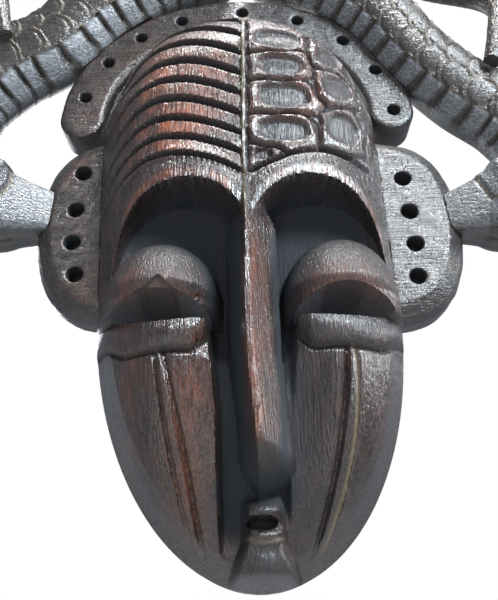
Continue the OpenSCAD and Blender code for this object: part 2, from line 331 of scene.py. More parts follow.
# Each cell of the forehead: its outline, and the middle and half sizes of its dish
CELLS = (
    (((3, 311), (3, 331), (3, 350), (30, 346), (40, 334), (39.5, 316)), (21, 324, 15, 8.5)),
    (((3, 289.5), (3, 310.5), (37, 314.5), (42, 305), (40, 295), (27, 289.5)), (22, 301, 14.5, 8)),
    (((2.5, 265), (3, 289), (37, 289.5), (47, 275), (42, 266.5)), (23, 277.5, 15.5, 9)),
    (((2, 245), (2, 263.5), (34, 265), (41.5, 255), (42.5, 240.5), (23, 235.5), (17.4, 242)),
     (22, 253, 15, 8)),
    (((1.5, 226), (2, 243.5), (16.5, 240.5), (21, 234)), (9, 236, 5.5, 4)),
    (((42.5, 300), (57, 304.5), (71, 300), (69, 281), (50, 274), (45, 282)), (57, 290.5, 9.5, 9)),
    (((45, 267), (65, 277), (73, 263), (71, 247), (56, 241), (43.5, 243)), (58, 260, 10.5, 10.5)),
    (((42, 306), (40, 318), (41, 333), (52, 334), (66, 318), (69, 302), (57, 306)), (54, 318, 8, 8)),
)


def polygon_inside(x, z, pts):
    """Distance in from the nearest side of an outline, negative outside."""
    best = np.full(np.shape(x), 1e9)
    inside = np.zeros(np.shape(x), bool)
    for (ax, az), (bx, bz) in zip(pts, pts[1:] + pts[:1]):
        dx, dz = bx - ax, bz - az
        t = np.clip(((x - ax) * dx + (z - az) * dz) / (dx * dx + dz * dz), 0, 1)
        best = np.minimum(best, np.hypot(x - ax - t * dx, z - az - t * dz))
        if dz:
            crosses = (az > z) != (bz > z)
            inside ^= crosses & (x < ax + (z - az) * dx / dz)
    return np.where(inside, best, -best)


def cells(x, z):
    """Depth, groove, dish and area of the scale-like cells right of the ridge."""
    dish = np.zeros(np.shape(x))
    near = np.full(np.shape(x), -1e9)
    second = near.copy()
    wobble = 0.5 * np.sin(0.35 * x + 0.2 * z) + 0.4 * np.sin(0.5 * z)
    for outline, (cx, cz, rx, rz) in CELLS:
        d = polygon_inside(x + wobble, z + wobble, outline)
        second = np.maximum(second, np.minimum(near, d))
        wins = d > near
        near = np.maximum(near, d)
        oval = (np.abs(x - cx + 0.5 * wobble) / (1.08 * rx)) ** 2.6 + (np.abs(z - cz) / (1.08 * rz)) ** 2.6
        swell = smooth(0.9, 0.1, ((x - cx - 2) / rx) ** 2 + ((z - cz - 1) / rz) ** 2)
        dish = np.where(wins, smooth(1.15, 0.3, oval) - 0.12 * swell, dish)
    border = np.where(near > -2.5, (near - second) / 2, 9)
    area = smooth(-2.5, -1.0, near)
    groove = np.maximum(line(border, 0.75), line(near + 1.6, 0.8) * 0.8)
    depth = area * (2.0 * smooth(0, 3.5, border) * smooth(-2.0, 1.5, near) - 3.8 * dish) - 2.2 * groove
    return depth, np.clip(groove, 0, 1), dish * area, area


def arch(s):
    """Height of the lower edge of the brow over an eye."""
    across = np.abs((s - SOCKET_X) / SOCKET_HALF_W) ** ROUND
    return SOCKET_Z + SOCKET_RISE * np.clip(1 - across, 0, 1) ** UNROUND


def mouth_block(x, z):
    """The lips and chin as a narrow block that widens downwards: where it is, and its depth."""
    half = 8.0 + 6.5 * smooth(28, 6, z)
    across = smooth(half + 4.0, half - 2.0, np.abs(x - LIPS_X))
    lips = 6.0 * bump(x, z, LIPS_X, 27, 9, 4.0) + 5.0 * bump(x, z, LIPS_X, 38.5, 9, 4.0)
    return across, 57.0 + 5.0 * smooth(0, 20, z) + lips + 4.0 * bump(x, z, 3, 12, 10, 9)


class Front:
    """The front of the face while it is carved. Depth is in front of the back plane."""

    def __init__(self, x, z):
        self.x, self.z, self.s = x, z, np.abs(x)
        self.off = np.abs(x - ridge_x(z))
        self.on_left = x < ridge_x(z)
        self.r = rho(x, z)
        self.fade = 1 - smooth(0.9, 1.0, self.r)
        self.right = smooth(0.5, 1.5, x - ridge_x(z)) * smooth(0.99, 0.9, self.r)
        self.egg = dome(x, z)
        self.depth = self.egg
        # groove is painted shade with a duller finish, sheen is painted highlight, pale and worn are tan
        # edges and red wear
        self.marks = dict.fromkeys(("groove", "pale", "worn", "painted_sheen"), 0.0)

    def add(self, name, amount):
        self.marks[name] = self.marks[name] + amount


def carve_cheeks(f):
    """Full cheeks, a valley beside the nose, and a fuller brow."""
    x, z, s = f.x, f.z, f.s
    valley = bump(x, z, 19, 84, 17, 62)
    brow = smooth(92, 60, s) * smooth(arch(s) + 26, arch(s) + 4, z) * smooth(180, 200, z)
    cheek = bump(s, z, 50, 88, 22, 60)
    f.depth = f.depth + f.fade * (6 * cheek - 8.5 * valley * smooth(130, 112, z) + 4 * brow)
    # painted shade in the valley right of the nose
    f.add("groove", 0.42 * valley * smooth(12, 19, x))
    outer = np.where(x < 0, 0.3, 0.05) * bump(s, z, 66, 85, 8, 40)
    f.add("worn", 0.3 * bump(x, z, -34, 70, 12, 50) + outer)
    # painted reflection on the lower outer facets
    up = np.where(x < 0, smooth(36, 85, z), smooth(14, 55, z))
    f.add("painted_sheen", 0.75 * smooth(0.89, 0.94, f.r) * smooth(150, 110, z) * up)


def carve_forehead(f):
    """Curved stripes left of the ridge and cells right of it, above the brows."""
    x, z = f.x, f.z
    band, stripe_groove, crest = stripes(x, z)
    tile, cell_groove, dish, area = cells(x, z)
    above = smooth(-1.0, 2.5, z - arch(f.s))
    left = smooth(1.0, 2.0, ridge_x(z) - x) * above
    right = f.right * above
    f.depth = f.depth + left * band * smooth(1.0, 0.93, f.r) + right * tile
    # painted shade in the grooves of stripes and cells, and in the dishes
    f.add("groove", left * stripe_groove + right * (0.9 * cell_groove + 0.5 * dish))
    f.add("worn", left * crest * (bump(x, z, -43, 276, 19, 42) + 0.3 * bump(x, z, -35, 290, 36, 60))
          + 0.28 * right * area * (1 - dish) * bump(x, z, 24, 290, 40, 60))
    # painted highlight right of the ridge, between the cells
    f.add("painted_sheen", 0.4 * right * (1 - area))


def carve_brows(f):
    """A groove over the right brow, and the worn lower edge of both."""
    x, z = f.x, f.z
    brow_line = 225 + 15.5 * np.sin(np.clip((x - 2.8) / 46, 0, 1.45) * math.pi / 2)
    groove = line(z - brow_line, 1.1 + 1.1 * smooth(25, 55, x)) * smooth(2.5, 4, x) * smooth(78, 70, x)
    f.depth = f.depth - 4.0 * groove + 1.2 * f.right * smooth(0, -3, z - brow_line)
    # painted shade in the groove over the right brow
    f.add("groove", 0.9 * groove)
    over = z - arch(f.s)
    f.add("worn", 0.5 * smooth(9, 4, over) * smooth(0, 2, over) * smooth(170, 185, z) * smooth(6, 14, f.s))


def carve_trenches(f):
    """Narrow trenches between nose and cheeks, down to the chin."""
    x, z = f.x, f.z
    wall = np.where(x < 0, 18.5 + 3.0 * smooth(90, 125, z), 15.5)
    trench = smooth(wall + 1.6, wall - 1.6, f.s) * smooth(12, 44, z - 14 * (x > 0)) * smooth(196, 176, z)
    f.depth = f.depth - trench * (9.0 + 3.0 * smooth(80, 45, z))
    # painted shade in the trenches, except where the lips and chin stand
    f.add("groove", 0.9 * trench * smooth(12, 30, z) * (1 - mouth_block(x, z)[0]))


def carve_sockets(f):
    """Deep sockets between brows and lids."""
    z, s = f.z, f.s
    across = np.abs((s - SOCKET_X) / SOCKET_HALF_W) ** ROUND
    over = np.where(z > SOCKET_Z, np.abs((z - SOCKET_Z) / SOCKET_RISE), 0) ** ROUND
    near_nose = smooth(26, 18, s)
    pit = smooth(0.995, 0.94, (across + over) ** UNROUND)
    pit = pit * smooth(138 - 60 * near_nose, 150 + 12 * near_nose, z)
    f.depth = f.depth * (1 - pit) + SOCKET_DEPTH * pit


def carve_upper_lids(f):
    """Domed lids. The left one has a small nick in its lower edge."""
    x, z, s = f.x, f.z, f.s
    e = (np.abs(s - LID_X) / LID_HALF_W) ** 2.1 + (np.abs(z - LID_Z) / LID_HALF_H) ** 2.1
    lid = (e < 1) & (z > LID_FOOT)
    nick = smooth(0, 1.2, NICK_Z - 0.95 * np.abs(x - NICK_X) - z) * smooth(148.2, 149.4, z) * (x < 0)
    ball = LID_DEPTH + LID_SWELL * np.clip(1 - e, 0, 1) ** 0.47 - 4 * smooth(156, 147, z) - 2.6 * nick
    f.depth = np.where(lid, np.maximum(f.depth, ball), f.depth)
    # painted shade dims the upper part of each lid; the nick is tinted pale as a painted highlight
    f.add("groove", 0.42 * lid * (z > 150))
    f.add("pale", 0.12 * nick * lid)
    f.add("worn", 0.5 * lid * bump(s, z, 54, 152, 22, 12))


def carve_lower_lids(f):
    """A swollen bar under each eye, with a groove below it."""
    z, s = f.z, f.s
    foot = 118.0 + 9.0 * smooth(33, 19, s) + 8.5 * smooth(66, 84, s)
    swell = np.sin(np.clip((z - foot) / (LOWER_LID_TOP - foot), 0, 1) * math.pi) ** 0.7
    swell = swell * smooth(20, 36, s) * smooth(1.0, 0.9, f.r)
    corner = smooth(31, 21, s) * smooth(112, 126, z) * smooth(146, 138, z)
    groove = line(z - foot, 1.2) * smooth(21, 25, s)
    f.depth = f.depth + 3.8 * swell - 5.0 * corner - 3.0 * groove * smooth(1.0, 0.97, f.r)
    # painted shade in the groove under each lid, and over the whole right lower lid
    f.add("groove", 0.8 * groove + 0.25 * swell * (f.x > 0))
    f.add("pale", 0.35 * groove * smooth(0, 1, z - foot))


def carve_scars(f):
    """A raised rib down each cheek, with a groove on both sides of it."""
    k = SCAR_TOP - f.z
    width = 1.2 + 2.6 * np.sin(np.clip(k / 100, 0, 1) * math.pi)
    here = smooth(-2, 2, k) * smooth(12, 30, f.z) * f.fade
    for side, (start, slope, bend) in SCAR.items():
        inner = -side * (f.x - start - slope * k - bend * k * k)
        raised = smooth(-0.8, 0.6, inner) * smooth(width + 2.2, width, inner)
        grooves = 1.5 * line(inner + 1.2, 0.9) + 1.8 * line(inner - width - 2.4, 1.2)
        f.depth = f.depth + here * (1.6 * raised - grooves)
        edge_w, edge = (0.95, 0.9) if side > 0 else (0.5, 0.54)
        f.add("pale", edge * here * line(inner + 0.7, edge_w))


def carve_nose(f):
    """A long nose under the ridge, steeper on its left, cut back under the tip."""
    z, off = f.z, f.off
    reach = 3.0 + np.where(f.on_left, 6.0, 12.5) * smooth(226, 185, z)
    crest = 77.5 + 21.0 * smooth(240, 140, z)
    flat = np.clip(np.sqrt(off ** 2 + 2) - 1.4 - 0.7 * smooth(190, 120, z), 0, None)
    foot = np.where(f.on_left, 60, 68) + 6 * smooth(205, 240, z)
    nose = crest - (crest - foot) * np.clip(flat / reach, 0, 1) ** np.where(f.on_left, 0.8, 1.0)
    nose = nose - NOSE_CUT * smooth(70, 42, z + 0.25 * off) ** 1.5
    here = (off < reach + 2) & (z > NOSE_LOW) & (z < NOSE_HIGH)
    f.depth = np.where(here, np.maximum(f.depth, np.minimum(nose, 98.6)), f.depth)
    flank = smooth(1.5, 4, off) * smooth(206, 190, z) * smooth(11, 9, off) * smooth(40, 56, z)
    under = 0.2 * smooth(80, 62, z) * smooth(44, 50, z) * smooth(22, 10, f.s)
    tip = 0.9 * smooth(58, 50, z) * smooth(37, 44, z) * smooth(24, 15, f.s)
    # painted shade on the flanks, much stronger on the left, under the nose and at its tip
    f.add("groove", np.where(f.on_left, 0.55, 0.15) * flank + under + tip)
    f.add("worn", 0.4 * smooth(7, 2, off) * smooth(190, 150, z) * smooth(58, 75, z)
          + 0.2 * (1 - f.on_left) * smooth(13, 9, off) * smooth(210, 170, z) * smooth(60, 75, z))
    # painted highlight along the ridge of the nose
    f.add("painted_sheen", 0.4 * smooth(3.5, 1, off) * smooth(200, 170, z) * smooth(70, 90, z))


def carve_ridge(f):
    """The thin ridge from the crown to the bridge of the nose, with a golden edge."""
    z, off = f.z, f.off
    ridge = f.egg + 0.4 + 1.6 * smooth(1.9, 0.7, off) - 30 * smooth(1.5, 2.6, off)
    f.depth = np.maximum(f.depth, ridge - 60 * smooth(232, 222, z))
    f.add("pale", line(f.x - ridge_x(z) + 0.3, 0.55) * smooth(185, 205, z) * smooth(372, 360, z))


def carve_mouth(f):
    """Lips and chin as one narrow block with an open mouth."""
    x, z = f.x, f.z
    across, block = mouth_block(x, z)
    here = across * smooth(48, 41, z) * smooth(3, 11, z)
    hole = smooth(1.15, 0.7, ((x - MOUTH_X) / MOUTH_RX) ** 2 + ((z - MOUTH_Z) / MOUTH_RZ) ** 2)
    lip = line(z - LIP_LINE_Z - 0.02 * (x - 2) ** 2, 0.9) * here
    f.depth = f.depth * (1 - here) + np.maximum(f.depth, block) * here - 12 * hole - 1.3 * lip
    # painted shade in the mouth and over the chin below the lips
    f.add("groove", hole + 0.35 * here * smooth(24, 20, z))
    f.add("pale", 0.6 * lip)


CARVING = (carve_cheeks, carve_forehead, carve_brows, carve_trenches, carve_sockets, carve_upper_lids,
           carve_lower_lids, carve_scars, carve_nose, carve_ridge, carve_mouth)


def carved(x, z):
    """Depth of the carved front in front of the back plane, and marks for the materials."""
    f = Front(x, z)
    for carve in CARVING:
        carve(f)
    depth = np.clip(f.depth, THINNEST, FRONT_MOST)
    # painted shade, deeper where the carving sinks further below the uncarved dome
    f.add("groove", np.clip((f.egg - depth - 2.0) / 14.0, 0, 1))
    return depth, {name: np.clip(v, 0, 1) for name, v in f.marks.items()}


def face_grid(rows, cols):
    """A grid over the face, finer towards its edge."""
    v = np.linspace(0, 1, rows + 1)
    v = 0.75 * v + 0.25 * (1 - np.cos(math.pi * v)) / 2
    u = np.linspace(-1, 1, cols + 1)
    u = 0.72 * u + 0.28 * np.sin(math.pi / 2 * u)
    z, u = np.meshgrid(GRID_LOW + (GRID_HIGH - GRID_LOW) * v, u, indexing="ij")
    return mid_x(z) + u * blunt_half_w(z), z


def relief(name, x, depth, z, y_back):
    """A closed block with a carved front over a grid and a flat back."""
    rows, cols = x.shape
    front = np.stack([x, -depth, z], -1).reshape(-1, 3)
    at = np.arange(rows * cols).reshape(rows, cols)
    edge = np.concatenate([at[0, :-1], at[:-1, -1], at[-1, :0:-1], at[:0:-1, 0]])
    back = front[edge].copy()
    back[:, 1] = y_back
    quads = np.stack([at[:-1, :-1], at[:-1, 1:], at[1:, 1:], at[1:, :-1]], -1).reshape(-1, 4).tolist()
    m, n = len(edge), rows * cols
    ring = [(edge[k], n + k, n + (k + 1) % m, edge[(k + 1) % m]) for k in range(m)]
    return new_mesh(name, np.concatenate([front, back]), quads + ring + [list(range(n, n + m))])


def hollow_tool():
    """The hollow behind the face, with the waves that a gouge leaves."""
    v = np.linspace(0, 1, 61)
    z = RIM + 8 + (FACE_TOP - 2 * RIM - 12) / 2 * (1 - np.cos(math.pi * v))
    u = np.sin(math.pi / 2 * np.linspace(-1, 1, 49))
    z, u = np.meshgrid(z, u, indexing="ij")
    deep = HOLLOW_DEPTH * np.sqrt(np.clip(1 - np.abs(u) ** 4, 0, 1))
    deep = deep * np.sin(math.pi * v)[:, None].clip(0) ** 0.7
    x = mid_x(z) + u * np.maximum(12, half_w(z) - RIM)
    deep = deep + 0.7 * lumps(x, 0 * x, z, 9, 4) * smooth(0, 8, deep)
    return relief("hollow", x, deep, z, 1.0)


def slit_tool(side):
    """The opening of an eye: a high arch over a shallow one."""
    t = np.linspace(0, math.pi, 33)
    top = [(SLIT_W / 2 * math.cos(a), (SLIT_H - 1) * math.sin(a) ** 1.5) for a in t]
    low = [(-SLIT_W / 2 * math.cos(a), -5.6 * math.sin(a) ** 1.1) for a in t[1:-1]]
    tilt = 0.03 * side
    pts = [(side * SLIT_X + px, SLIT_Z - 0.6 + pz + tilt * px) for px, pz in top + low]
    return prism("slit", pts, 1.0, -120.0)


def make_face(material):
    x, z = face_grid(352, 236)
    depth, _ = carved(x, z)
    depth = depth + 0.25 * lumps(x, 0 * x, z, 7, 1) * smooth(1.0, 0.9, rho(x, z))
    ob = relief("mask_face", x, np.minimum(depth, FRONT_MOST + 0.1), z, 0.0)
    cut(ob, [hollow_tool(), slit_tool(-1), slit_tool(1)])
    x, y, z = coords(ob).T
    depth, marks = carved(x, z)
    on_front = smooth(5.0, 1.5, depth + y)
    in_slit = (np.abs(np.abs(x) - SLIT_X) < SLIT_W / 2 + 1) * (z > SLIT_Z - 8) * (z < SLIT_Z + SLIT_H + 1)
    # painted shade on the walls of the eye openings
    mark(ob, groove=np.maximum(marks["groove"] * on_front, (1 - on_front) * in_slit),
         **{k: marks[k] * on_front for k in ("pale", "worn", "painted_sheen")})
    shade(ob, 50)
    return hand_over(ob, "face", material)


# ---- crown

HOLE_RING = 0.885   # of the band's outer size
CROWN_LAYERS = ((0.0, 1.0), (-1.2, 0.0), (3.0 - CROWN_T, 0.0), (1.2 - CROWN_T, 0.7),
                (0.2 - CROWN_T, 2.2), (-CROWN_T, 3.6))      # depth, and how far the outline is drawn in
CHAMFER_LAYERS = ((-22.0, 0.0), (-26.2, 3.6), (-30.0, 6.0))
PLATE_R, PLATE_HALF, PLATE_T = 9.0, 13.0, 1.5
SCREW_ROOM = (6.0, 8.0, 8.5)


def ring_point(a, b, degrees):
    """A point on an ellipse about the middle of the crown."""
    t = math.radians(degrees)
    return CROWN_X + a * math.cos(t), CROWN_Z + b * math.sin(t)


def face_outline(grow):
    """The outline of the face from the front, made larger by grow."""
    turn = np.linspace(0, math.pi, 91)
    z = GRID_LOW + (GRID_HIGH - GRID_LOW) / 2 * (1 - np.cos(turn))
    w = blunt_half_w(z) + grow * np.sin(turn) ** 0.3
    up = z - grow * np.cos(turn)
    return list(zip(mid_x(z) + w, up)) + list(zip((mid_x(z) - w)[::-1], up[::-1]))


def face_prism():
    """Cuts a neighbour back to the glue line round the face."""
    return prism("face_prism", face_outline(GLUE), 5.0, -60.0)


def crown_outline(inset):
    """Outer arc with round ends, and the arc that follows the face."""
    degrees = np.linspace(2, 178, 89)
    outer = [ring_point(CROWN_A - inset, CROWN_B - inset, a) for a in degrees]
    wide = CROWN_W - inset
    inner = [ring_point(CROWN_A - wide, CROWN_B - wide, a) for a in degrees[::-1]]
    r = CROWN_W / 2 - inset
    ends = []
    for at in (178, 2):
        cx, cz = ring_point(CROWN_A - CROWN_W / 2, CROWN_B, at)
        turn = [math.radians(180 + q) for q in range(9, 180, 9)]
        ends.append([(cx + r * math.cos(a), cz + r * math.sin(a)) for a in turn])
    return outer + ends[0] + inner + ends[1]


def hanger_tools():
    """The recess of the hanger plate, and the room for a screw head behind it."""
    z = HOOK_Z - 3
    wide, high, deep = SCREW_ROOM
    stadium = [(math.copysign(PLATE_HALF, math.cos(a)) + PLATE_R * math.cos(a), z + PLATE_R * math.sin(a))
               for a in np.radians(np.arange(0, 360, 9))]
    box = [(-wide, z - high), (wide, z - high), (wide, z + high), (-wide, z + high)]
    return [prism("plate_recess", stadium, 1.0, -PLATE_T), prism("screw_room", box, 1.0, -deep)]


def make_crown(material):
    ob = layered("mask_crown", [(y, crown_outline(inset)) for y, inset in CROWN_LAYERS])
    cut(ob, [face_prism()] + hanger_tools())
    cut(ob, [layered("inner_chamfer", [(y, face_outline(grow)) for y, grow in CHAMFER_LAYERS])])
    holes = [ring_point(CROWN_A * HOLE_RING, CROWN_B * HOLE_RING, a) for a in CROWN_HOLES]
    cut(ob, [bore(x, z, CROWN_HOLE_R, CROWN_T) for x, z in holes])
    remesh(ob, 0.85)
    weather(ob, 0.18, 11)
    co = coords(ob)
    x, y, z = co.T
    near = holes_mark(co, holes, CROWN_HOLE_R, CROWN_T)
    side = smooth(1.5, 6.0, y + CROWN_T)
    radius = np.hypot((x - CROWN_X) / CROWN_A, (z - CROWN_Z) / CROWN_B)
    right = smooth(-70, 60, x)
    # painted shade in the holes and on the sides and back; painted highlight on the front, much stronger
    # to the right; red wear stronger to the left
    mark(ob, groove=np.maximum(near, 0.3 * side), pale=0 * near,
         worn=(0.25 - 0.15 * right) * smooth(0.97, 0.8, radius) * (1 - side),
         painted_sheen=(1 - side) * (1 - near) * (0.1 + 0.75 * right))
    shade(ob, 60)
    return hand_over(ob, "crown_band", material)


# ---- ears

EAR_LAYERS = ((0.0, 3.0), (-5.0, 0.0), (-18.0, 0.0), (-24.5, 3.0), (-29.2, 9.8), (-29.8, 10.8),
              (-30.0, 11.8))
# how strong the painted highlight on each ear is
EAR_PAINTED_SHEEN = {-1: 0.35, 1: 0.42}


def ear_outline(side, inset):
    """A D shape with a straight side against the face."""
    reach, high = EAR_REACH - EAR_START - inset, EAR_HALF_H - inset
    return [(side * (EAR_START + reach * max(0.0, math.cos(t)) ** 0.5),
             EAR_Z[side] + high * math.copysign(abs(math.sin(t)) ** 0.9, t))
            for t in np.linspace(-math.pi / 2, math.pi / 2, 61)]


def ear_blank(name, side, grow=0.0):
    """A flap with a rounded front edge. With grow it's a tool that leaves a glue line."""
    return layered(name, [(y - grow * (y < -20) + grow * (y == 0), ear_outline(side, inset - grow))
                          for y, inset in EAR_LAYERS])


def make_ear(side, material):
    ob = ear_blank("mask_ear_" + SIDE_NAME[side], side)
    cut(ob, [face_prism()])
    cut(ob, [bore(x, z, EAR_HOLE_R, EAR_T) for x, z in EAR_HOLES[side]])
    remesh(ob, 0.8)
    weather(ob, 0.22, 21 + side)
    co = coords(ob)
    x, y, z = co.T
    near = holes_mark(co, EAR_HOLES[side], EAR_HOLE_R, EAR_T)
    front = smooth(-27.5, -29.0, y)
    brown = smooth(0, 1, lumps(x, y, z, 12, 5)) * (side < 0)
    # painted shade in the holes and on the sides; painted highlight on the front, stronger on the right
    # ear, weaker in the left ear's brown blotches
    mark(ob, groove=np.maximum(near, 0.25 * (1 - front)), pale=0 * near, worn=0.5 * brown * front,
         painted_sheen=(1 - near) * (0.2 + 0.8 * front) * (1 - 0.6 * brown) * EAR_PAINTED_SHEEN[side])
    shade(ob, 60)
    return hand_over(ob, "ear_flap_" + SIDE_NAME[side], material)


# ---- snakes

# Control points of the bodies and tails: x, z, y of the middle, half width, half depth
SNAKE_PATH = {
    -1: ((-4, 434, -25, 10, 12), (-14, 435, -25, 21, 22), (-60, 425, -25, 26, 25),
         (-104, 397, -25, 28, 25), (-134, 366, -25, 29, 25), (-164, 347, -25, 30, 25),
         (-190, 318, -25, 29, 25), (-196, 282, -25, 28, 25), (-184, 250, -25, 28, 25),
         (-162, 236, -25, 27, 25), (-146, 233, -22, 21, 19), (-122, 231, -17, 15, 13)),
    1: ((4, 433, -25, 10, 12), (14, 433, -25, 21, 22), (54, 421, -25, 25, 25),
        (94, 389, -25, 25, 25), (120, 348, -25, 24, 25), (147, 316, -25, 25, 25),
        (176, 293, -25, 28, 25), (192, 264, -25, 28, 25), (182, 236, -25, 27, 25),
        (160, 226, -25, 27, 25), (145, 224, -22, 20, 19), (122, 222, -17, 14, 13)),
}
TAIL_PATH = {
    -1: ((-4, 453, -26, 7, 7), (-14, 456, -26, 14, 14), (-60, 461, -27, 16, 15), (-110, 449, -28, 15, 15),
         (-150, 443, -29, 14, 14), (-172, 425, -33, 12, 12), (-174, 402, -43, 10, 10),
         (-167, 377, -53, 9, 8), (-159, 352, -53, 6, 6)),
    1: ((4, 452, -26, 7, 7), (14, 454, -26, 14, 14), (56, 454, -27, 15, 15), (100, 430, -28, 15, 15),
        (140, 413, -29, 14, 14), (168, 397, -33, 12, 12), (178, 374, -42, 10, 10),
        (172, 347, -52, 10, 9), (162, 320, -51, 7, 7)),
}
HEAD_PANEL = {
    -1: ((-190, 262), (-160, 262), (-150, 256), (-148, 244), (-153, 233), (-166, 226), (-190, 224)),
    1: ((142, 240), (151, 245), (176, 252), (196, 250), (200, 230), (176, 222), (149, 222)),
}
HEAD_LENGTH, HEAD_SKIN = 87.0, 1.2
GIRTH_R = 26.0      # radius that turns the section angle into arc length
SKIN_DEPTH = 3.8    # of the lowest skin under the outline
BACK_SCALE, TAIL_SCALE = (19.0, 20.0), (13.0, 10.5)     # length and width
TAIL_GIRTH = 84.0
PLATE_PITCH = 17.0
BELLY_AT = {-1: -17.0, 1: -20.0}    # arc length where the belly plates end
PLATE_CUT = {-1: 1.0, 1: 0.45}      # how deep the seams of the plates are
BORDER_CUT = {-1: 1.0, 1: 0.2}
SEAM_PALE = {-1: 0.25, 1: 0.3}
# strength of the painted highlight on the belly plates
PLATE_PAINTED_SHEEN = {-1: 1.0, 1: 0.85}
STUD_SIDES = 48
STUD_PROFILE = ((0.0, -40.8), (3.8, -41.0), (3.9, -46.8), (6.2, -47.0), (6.5, -47.6), (6.1, -48.9),
                (5.0, -49.6), (4.7, -50.4), (3.9, -51.7), (2.6, -52.8), (1.2, -53.35), (0.0, -53.4))


def curve(path, s):
    """Smooth curve through control points, the same as in the CAD."""
    p = np.array(path, float)
    k = np.clip(np.floor(s).astype(int), 0, len(p) - 2)
    t = (s - k)[:, None]
    a, b, c, d = (p[np.clip(k + i, 0, len(p) - 1)] for i in (-1, 0, 1, 2))
    bend, twist = 2 * a - 5 * b + 4 * c - d, 3 * b - a - 3 * c + d
    return 0.5 * (2 * b + (c - a) * t + bend * t ** 2 + twist * t ** 3)


class Sweep:
    """Rings of a body along a path. In each ring q is 1 on one side and p is 1 in front."""

    def __init__(self, path, step, cols):
        fine = np.linspace(0, len(path) - 1, 1500)
        c = curve(path, fine)
        length = np.concatenate([[0], np.cumsum(np.hypot(*np.diff(c[:, :2], axis=0).T))])
        along = np.linspace(0, length[-1], int(length[-1] / step) + 1)
        s = np.interp(along, length, fine)
        here = curve(path, s)
        ahead = curve(path, np.minimum(len(path) - 1, s + 0.12)) - curve(path, np.maximum(0, s - 0.12))
        heading = np.arctan2(ahead[:, 1], ahead[:, 0])[:, None]
        turn = 2 * math.pi * (np.arange(cols) + 0.5) / cols
        ones = np.ones((len(along), cols))
        self.q, self.p, self.v = np.cos(turn) * ones, np.sin(turn) * ones, along[:, None] * ones
        self.total = along[-1]
        self.x, self.z, self.y, self.w, self.deep = (here[:, i:i + 1] for i in range(5))
        self.sin, self.cos = np.sin(heading), np.cos(heading)

    def flat(self, wide):
        """x and z of points at a distance to the side of the path."""
        return self.x - wide * self.sin, self.z + wide * self.cos

    def mesh(self, name, wide, front, back_most=np.inf):
        """A closed body from distances to the side and to the front of the path."""
        x, z = self.flat(wide)
        y = np.minimum(back_most, self.y - front)
        return new_mesh(name, np.stack([x, y, z], -1).reshape(-1, 3), tube_faces(*self.v.shape))


def scales(v, q, size):
    """Overlapping round scales. v runs along the body against the free edges, q across it.
    Returns the height of the top scale, and the distance in from its free edge."""
    length, width = size
    best = np.full(v.shape, -1e9)
    height = np.zeros(v.shape)
    edge = np.full(v.shape, 9.0)
    radius = 0.62 * width
    row = np.floor(q / width)
    for dq in (-1, 0, 1):
        n = row + dq
        cq = (n + 0.5) * width
        shift = 0.5 * length * (np.mod(n, 2))
        m = np.floor((v - shift) / length)
        for dm in (-1, 0, 1, 2):
            cv = (m + dm) * length + shift
            lobe = np.abs((v - cv) / (0.62 * length)) ** ROUND + np.abs((q - cq) / radius) ** ROUND
            inside = (lobe < 1) | ((v > cv) & (np.abs(q - cq) < radius * 0.98) & (v < cv + 1.4 * length))
            rim = (1 - lobe ** UNROUND) * 0.6 * length
            rim = np.where(v > cv, np.maximum(rim, (radius - np.abs(q - cq))), rim)
            take = inside & (cv > best)
            best = np.where(take, cv, best)
            height = np.where(take, 1 - np.clip((v - cv + 0.62 * length) / (1.9 * length), 0, 1), height)
            edge = np.where(take, rim, edge)
    return height, edge


def snake_skin(t, side, crownward, body):
    """Inset and marks of a body: scales outside, belly plates and a seat on the crown."""
    p, v = t.p, t.v
    border, plate_cut = BELLY_AT[side], PLATE_CUT[side]
    across = np.arcsin(np.clip(-crownward, -1, 1)) * GIRTH_R
    is_scale = smooth(border - 1.0, border + 1.0, across) * smooth(-0.5, -0.1, p)
    is_plate = 1 - is_scale
    h, edge = scales(v, across + 60 * BACK_SCALE[1] - border, BACK_SCALE)
    along = np.mod(v + 3.0 * np.sin(across * 0.08), PLATE_PITCH)
    seam = np.minimum(along, PLATE_PITCH - along)
    plate = (smooth(0, 3.5, seam) * 2.2 - 0.9 * line(seam, 1.1)) * plate_cut
    plate = plate + 2.2 * (1 - plate_cut) + 0.05 * (PLATE_PITCH - along)
    front = smooth(-0.75, -0.2, p)
    scale = 3.4 * h - line(edge - 2.6, 0.7) * (h > 0.2)
    raised = is_scale * scale + is_plate * plate * front - BORDER_CUT[side] * line(across - border, 1.0)
    inset = (SKIN_DEPTH - raised * body * smooth(0, 10, v)) * smooth(0, 6, v)
    seat = smooth(0.25, 0.55, crownward) * smooth(0.45, 0.1, p) * body
    pale_scale = is_scale * (0.7 * line(edge - 0.3, 0.45) + 0.25 * line(edge - 2.6, 0.4)) * (h > 0.35)
    pale_seam = is_plate * line(seam - 1.6 * plate_cut, 0.45) * SEAM_PALE[side] * front
    # painted highlight on the belly plates; painted shade in the seams and in the creases under the scales
    painted_sheen = is_plate * smooth(2.0, 4, seam) * PLATE_PAINTED_SHEEN[side] + 0.02 * is_scale
    marks = {
        "pale": np.maximum(pale_scale, pale_seam),
        "groove": np.maximum(is_scale * line(edge + 0.2, 1.0), is_plate * line(seam, 1.0) * plate_cut),
        "worn": 0.25 * is_scale * h,
        "painted_sheen": painted_sheen * smooth(-0.3, 0.2, p),
    }
    return inset * (1 - seat) + 0.2 * seat, marks


